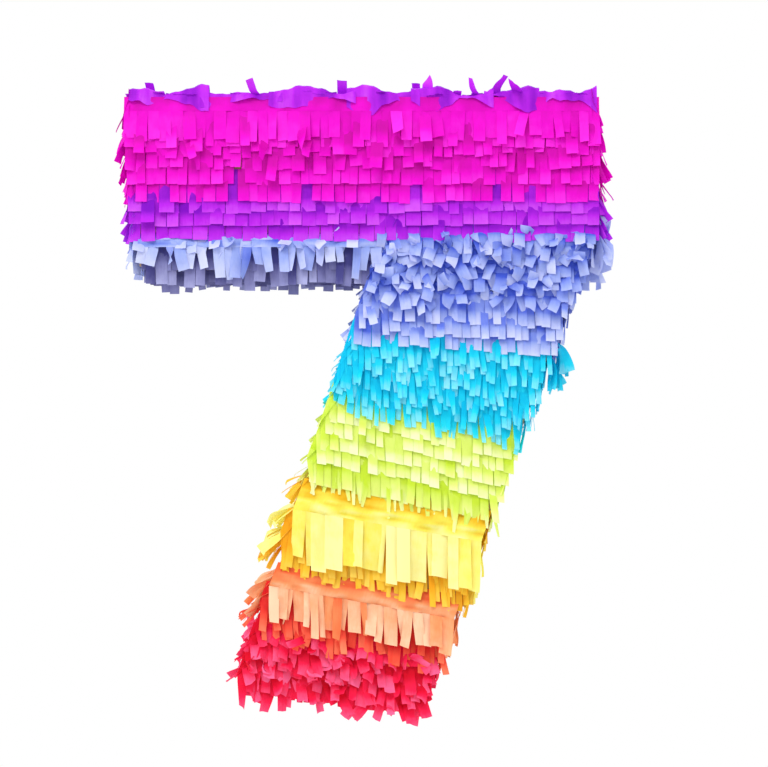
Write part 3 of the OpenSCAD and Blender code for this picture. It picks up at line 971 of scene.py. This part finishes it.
def layers_at(shares, paper, h):
    """Layers of one paper for wall_band, whose hems are at these shares of the way down the band."""
    return [(share, paper, h) for share in shares]


def wall_band(name, wall, top, low, layers, seed, slab):
    """Makes one piece with a row for each layer, between the heights top and low of a wall."""
    rows = []
    for i, (share, paper, h) in enumerate(layers):
        rows.append(wall_row(*wall, top + share * (low - top), paper, h, seed + i))
    fringe_piece(name, rows, slab)


# %% The walls of the bar
loose = dict(
    lift=28, lift_spread=6, bend=-12, bend_spread=8, splay=5, swirl=4, twist=38, uneven=1.6, stray=0.0,
    width=8, reach=15,
)
# Their tones are a little lower than most rows on the faces: painted shade on the ends of the bar.
side_magenta = replace(neat, tone=0.34, **loose)
side_purple = replace(neat, tone=0.36, length=19, **loose)
side_curtain = replace(
    curtain_top, length=20, puff=0, over=1000.0, missing=0.0, lift=4, lift_spread=2, tone=0.36,
)
long_curtain = replace(
    side_curtain, length=32, lift=16, lift_spread=8, bend=-10, twist=44, splay=12, width=8, tone=0.5,
)
close_curtain = replace(
    side_curtain, lift=2, lift_spread=1.5, bend=-3, bend_spread=3, splay=4, swirl=3, twist=12,
)
CURTAIN_LAYERS = {
    "arm_end": layers_at((1.3, 1.05, 0.7, 0.4), "periwinkle", close_curtain),
    "bar_end": layers_at((1.6, 1.4, 1.2, 0.9), "periwinkle", long_curtain),
}
MAGENTA_ENDS = (1.03, 0.9, 0.77, 0.64, 0.5, 0.34)
PURPLE_ENDS = (1.0, 0.76, 0.52, 0.28)
BAR_ENDS = {"arm_end": ("top_left", "arm_corner", -1), "bar_end": ("top_right", "bar_corner", 1)}
for end, wall in BAR_ENDS.items():
    bands = [
        ("magenta", BAR_TOP, MAGENTA_LOW, layers_at(MAGENTA_ENDS, "magenta", side_magenta)),
        ("purple", MAGENTA_LOW, PURPLE_LOW, layers_at(PURPLE_ENDS, "purple", side_purple)),
        ("periwinkle", PURPLE_LOW, ARM_LOW, CURTAIN_LAYERS[end]),
    ]
    for i, (band, top, low, layers) in enumerate(bands):
        seed = 600 + 40 * wall[2] + 10 * i
        wall_band(f"{band}_rows_{end}", wall, top, low, layers, seed, f"{band}_fringe_{end}")
print("walls of the bar made, strips so far", strip_count)

# %% The walls of the stem
hanging_clear = dict(lift=13, lift_spread=6, bend=-10, bend_spread=8, twist=22, splay=6, stray=0.0)
lying_back = dict(lift=20, lift_spread=8, bend=-8, bend_spread=10, twist=30, splay=7, stray=0.0)
STEM_WALLS = {
    "outer": (("bar_corner", "foot_right", 1), hanging_clear),
    "inner": (("crotch", "foot_left", -1), lying_back),
}
gold_tufts = replace(gold_under, length=24, width=6)
side_wide = replace(wide, length=26, header=12, width=7, puff=1, folds=1)
side_peach = replace(peach, length=20, header=10, puff=1, folds=1)
TIGHT = {"lift": 7, "lift_spread": 4, "bend": -5}
FLARED = {"lift": 38, "lift_spread": 10, "bend": -12, "reach": 18}
OWN_STANCES = {
    ("outer", "lime"): TIGHT,
    ("inner", "yellow"): FLARED,
    ("inner", "orange"): FLARED,
    ("inner", "red"): FLARED,
}
YELLOW_LAYERS = layers_at((1.02,), "gold", gold_under) + layers_at((0.88, 0.62), "yellow", side_wide)
YELLOW_LAYERS += layers_at((0.25,), "gold", gold_tufts)
ORANGE_LAYERS = layers_at((1.05,), "flame", flame_under) + layers_at((0.82, 0.56), "orange", side_peach)
PERIWINKLE_HEMS = (1.02, 0.88, 0.73, 0.58, 0.43, 0.28, 0.13)
WALL_LAYERS = {
    "periwinkle": layers_at(PERIWINKLE_HEMS, "periwinkle", settled),
    "cyan": layers_at((1.03, 0.80, 0.56, 0.32), "cyan", narrow),
    "lime": layers_at((1.0, 0.78, 0.54, 0.30), "lime", lime_bricks),
    "yellow": YELLOW_LAYERS,
    "orange": ORANGE_LAYERS,
    "red": layers_at((1.12, 0.84, 0.56, 0.30), "red", curly),
}
SHADE_OF_THE_OVERHANG = {"outer": 0.14, "inner": 0.0}
for side, (wall, stance) in STEM_WALLS.items():
    end = 1 if side == "outer" else 0
    for i, (band, layers) in enumerate(WALL_LAYERS.items()):
        lie = {**stance, **OWN_STANCES.get((side, band), {})}
        shade = SHADE_OF_THE_OVERHANG[side]
        stood = [(share, paper, replace(h, tone=h.tone - shade, **lie)) for share, paper, h in layers]
        z0, z1 = seams[band][end], seams[NEXT_SEAM[band]][end]
        seed = 700 + 10 * i + 100 * end
        wall_band(f"{band}_rows_{side}", wall, z0, z1, stood, seed, f"{band}_fringe_{side}")

# %% Tufts where cyan begins
seam_tufts = replace(
    settled, length=24, width=6, lift=62, lift_spread=9, bend=-46, bend_spread=12, splay=8, swirl=6,
    twist=40, missing=0.1, reach=22, header=5, tone=0.40,
)
tufts = layers_at((0.36, 0.2), "cyan", seam_tufts)
outer_wall = STEM_WALLS["outer"][0]
wall_band("cyan_tufts_outer", outer_wall, seams["cyan"][1], seams["lime"][1], tufts, 905, "cyan_fringe_outer")
print("wall rows made, strips so far", strip_count)

# %% [markdown]
# ## The top, the underside and the foot
# On the top the purple strips lie towards the nearer long edge. Scraps of uncut ribbon finish that edge:
# they lie on the top, roll over it and hang a few millimetres down the face, with a tuft standing up here
# and there. Under the arm and under the foot rows hang down one behind the other, and their headers cover
# the card; under the arm they are periwinkle in painted shade. The flared rows of the stem's inner wall get
# flat rows below them, so that no card shows there either, and their low tone is painted shade.


# %% Rows that lie on the top or hang under a wall
def level_row(x0, z0, x1, z1, y, towards, up, paper, h, seed, skip=None):
    """A row along X whose strips start at depth y and point to the front (-1) or back (1), above or below."""
    ends = [np.array([x0, y, z0]), np.array([x1, y, z1])]
    rise = np.array([z0 - z1, 0, x1 - x0]) * up
    left, right = ends if towards * up < 0 else reversed(ends)
    return row_of_strips(left, right, (0, towards, 0), rise / np.linalg.norm(rise), paper, h, seed, skip)


def edge_ribbon(x0, x1, edge, towards, size, seed):
    """A scrap of ribbon from x0 to x1 that rolls over a long edge of the top, with folds of that size."""
    rng = np.random.default_rng(seed)
    columns = max(4, round((x1 - x0) / (2.5 * MM)))
    s = np.linspace(0, x1 - x0, columns + 1)[:, None] + np.zeros((1, 8))
    u = np.linspace(0, 1, 8)[None, :] + np.zeros((columns + 1, 1))
    rise = size * (4.0 + 2.2 * wave(s, (37, 61, 90), rng) + 0.6 * wave(s, (9, 17, 29), rng)) * MM
    hang = size * (0.9 + 2.4 * wave(s, (43, 77, 120), rng) + 0.6 * wave(s, (11, 19, 31), rng)) * MM
    forward = (2.2 + 1.0 * wave(s, (27, 49), rng)) * MM
    y = edge + towards * (-RIBBON_ON_TOP * (1 - np.minimum(1, 2 * u)) + forward * np.clip(2 * u - 0.9, 0, 1))
    z = BAR_TOP + SHEET_LIFT + 0.5 * MM + rise * np.sin(math.pi * np.minimum(1, 1.15 * u)) ** 2
    z = z - (hang + rise) * np.clip(2.4 * u - 1.4, 0, 1)
    points = np.stack([x0 + s, y, z], axis=-1)
    tiles = quads_between(np.arange(s.size).reshape(s.shape))
    width = RIBBON_ON_TOP + (np.mean(hang) + np.mean(rise) * 2 + np.mean(forward))
    return SimpleNamespace(
        points=points.reshape(-1, 3),
        faces=tiles if towards < 0 else tiles[:, ::-1],
        # tone differs at random along the scrap and drops a little where it hangs; along rises from the top
        # to the hanging part, so the material paints more shade on the top and more light where it hangs.
        tone=(0.30 + 0.20 * wave(s, (21, 43), rng) + 0.1 * wave(s, (8,), rng) - 0.1 * u).ravel(),
        along=(0.2 + 0.6 * u).ravel(),
        place=np.stack([s, u * width, 0 * s], axis=-1).reshape(-1, 3),
        paper="purple",
        flat=(x1 - x0, width),
        area=(x1 - x0) * width,
        strips=0,
    )


# %% The top
RIBBON_ON_TOP = 11 * MM
CORD_ROOM = 9 * MM
LYING_INSETS = (17 * MM, 29 * MM)
TUFT_INSET = 3 * MM
top_lying = replace(neat, length=17, lift=7, lift_spread=3, uneven=1.5)
top_tufts = Habits(
    width=6.5, length=15, header=10, lift=38, lift_spread=24, bend=20, bend_spread=60, splay=30, swirl=25,
    twist=35, uneven=2.5, missing=0.90, crumple=12, tone=0.3, over=2, header_painted_light=0.2, reach=17,
)
# Where each scrap starts and stops, as shares of the bar's width, and how big its folds are.
RIBBONS = [(-0.005, 0.17, 1.2), (0.15, 0.33, 0.9), (0.30, 0.49, 1.1), (0.47, 0.63, 1.1), (0.61, 0.79, 1.2)]
RIBBONS += [(0.77, 0.89, 1.2), (0.87, 1.015, 1.5)]
top_z = BAR_TOP + SHEET_LIFT
top_ends = (BAR_LEFT - HEM_REACH, BAR_LEFT + BAR_WIDTH + HEM_REACH)


def round_the_cord(point):
    """True for what would lie over the hanger hole."""
    return np.hypot(point[..., 0], point[..., 1] + 3 * MM * np.sign(point[..., 1])) < CORD_ROOM


for i, (face, edge, towards) in enumerate([("front", FRONT_Y, -1), ("back", BACK_Y, 1)]):
    lying = []
    for j, inset in enumerate(LYING_INSETS):
        y = edge - towards * inset
        level = (top_ends[0], top_z, top_ends[1], top_z, y, towards, 1, "purple", top_lying)
        lying.append(level_row(*level, 800 + 10 * i + j, round_the_cord))
    fringe_piece(f"purple_rows_top_{face}", lying, "purple_fringe_top")
    y = edge - towards * TUFT_INSET
    tufts = level_row(top_ends[0], top_z, top_ends[1], top_z, y, towards, 1, "purple", top_tufts, 830 + i)
    fringe_piece(f"purple_tufts_top_{face}", [tufts], "purple_fringe_top")
    ribbons = []
    for j, (start, stop, size) in enumerate(RIBBONS):
        x0, x1 = BAR_LEFT + start * BAR_WIDTH, BAR_LEFT + stop * BAR_WIDTH
        ribbons.append(edge_ribbon(x0, x1, edge, towards, size, 840 + 10 * i + j))
    fringe_piece(f"purple_ribbons_top_{face}", ribbons, "purple_fringe_top", in_line=True)
print("top rows made, strips so far", strip_count)

# %% The underside
HANGING_DEPTHS = (0.08, 0.32, 0.56, 0.80)  # shares of the body's depth, from the front
# A tone of 0 is painted shade on the rows under the arm; the foot's rows raise it.
hanging = Habits(
    length=9, shown=9, width=6.6, header=14, lift=66, lift_spread=8, bend=14, tone=0.0, missing=0.3,
)


def hanging_rows(name, start, end, paper, h, seed, slab):
    """Makes rows below a level or sloping wall from start to end, one behind the other."""
    (x0, z0), (x1, z1) = start, end
    z0, z1 = z0 - SHEET_LIFT, z1 - SHEET_LIFT
    rows = []
    for i, share in enumerate(HANGING_DEPTHS):
        y = FRONT_Y + share * DEPTH
        rows.append(level_row(x0, z0, x1, z1, y, -1, -1, paper, h, seed + i))
    fringe_piece(name, rows, slab)


arm_left = outline["arm_corner"][0] + 2 * MM, ARM_LOW
arm_right = outline["crotch"][0] - 12 * MM, ARM_LOW
slab = "periwinkle_fringe_underside"
hanging_rows("periwinkle_rows_underside", arm_left, arm_right, "mauve", hanging, 860, slab)

# %% Under the flared rows
inner_wall = STEM_WALLS["inner"][0]
# Low tones: painted shade under the flared rows.
flat_flame = replace(flame_under, length=22, lift=4, tone=0.1)
flat_gold = replace(gold_under, length=24, lift=4, tone=0.1)
UNDER_FLARES = {
    "red": layers_at((1.3, 0.9), "red", red_under),
    "orange": layers_at((1.0, 0.55), "flame", flat_flame),
    "yellow": layers_at((1.0, 0.6), "gold", flat_gold),
}
for i, (band, layers) in enumerate(UNDER_FLARES.items()):
    z0, z1 = seams[band][0], seams[NEXT_SEAM[band]][0]
    wall_band(f"{band}_under_inner", inner_wall, z0, z1, layers, 910 + 10 * i, f"{band}_fringe_inner")

# %% The foot
foot_hanging = replace(
    hanging, length=10, missing=0.05, lift=60, lift_spread=14, bend_spread=30, splay=8, twist=20,
    tone=0.25,
)
foot = outline["foot_left"], outline["foot_right"]
hanging_rows("red_rows_foot", *foot, "red", foot_hanging, 870, "red_fringe_foot")
print("all rows made, strips", strip_count)

# %% [markdown]
# ## The floor and the white surroundings
# The floor is a pale disc well below the piñata. The dome is what the camera sees behind it. Neither is
# part of the object, and the dome throws no light of its own on the paper.


# %% The floor and the dome
def stage_mesh(name, build, material):
    """An object that isn't part of the piñata, with its mesh made by a bmesh function."""
    shape = bmesh.new()
    build(shape)
    mesh = bpy.data.meshes.new(name)
    shape.to_mesh(mesh)
    shape.free()
    mesh.materials.append(material)
    made = bpy.data.objects.new(name, mesh)
    bpy.context.scene.collection.objects.link(made)
    return made


FLOOR_DROP, FLOOR_RADIUS, DOME_RADIUS = 0.20, 0.48, 6.0
plaster = Recipe("pale_floor")
speckle = plaster.noise(plaster.node("ShaderNodeTexCoord", output="Object"), 60.0, 4.0, 0.6)
plaster.finish(Base_Color=plaster.mixed(speckle, linear("E4E4E4"), linear("EEEEEE")), Roughness=0.8)
floor = stage_mesh(
    "floor",
    lambda shape: bmesh.ops.create_circle(shape, cap_ends=True, radius=FLOOR_RADIUS, segments=96),
    plaster.material,
)
floor.location = (0, 0, cad_box[0][2] - FLOOR_DROP)
white = Recipe("white_surroundings")
white_light = white.node("ShaderNodeEmission", inputs={"Color": (1, 1, 1, 1), "Strength": 1.0})
white.plug(white.out.inputs["Surface"], white_light)
dome = stage_mesh(
    "dome",
    lambda shape: bmesh.ops.create_icosphere(shape, subdivisions=4, radius=DOME_RADIUS),
    white.material,
)
for ray in ("diffuse", "glossy", "transmission", "shadow", "volume_scatter"):
    setattr(dome, f"visible_{ray}", False)
print("floor at", round(floor.location.z, 3), "m")
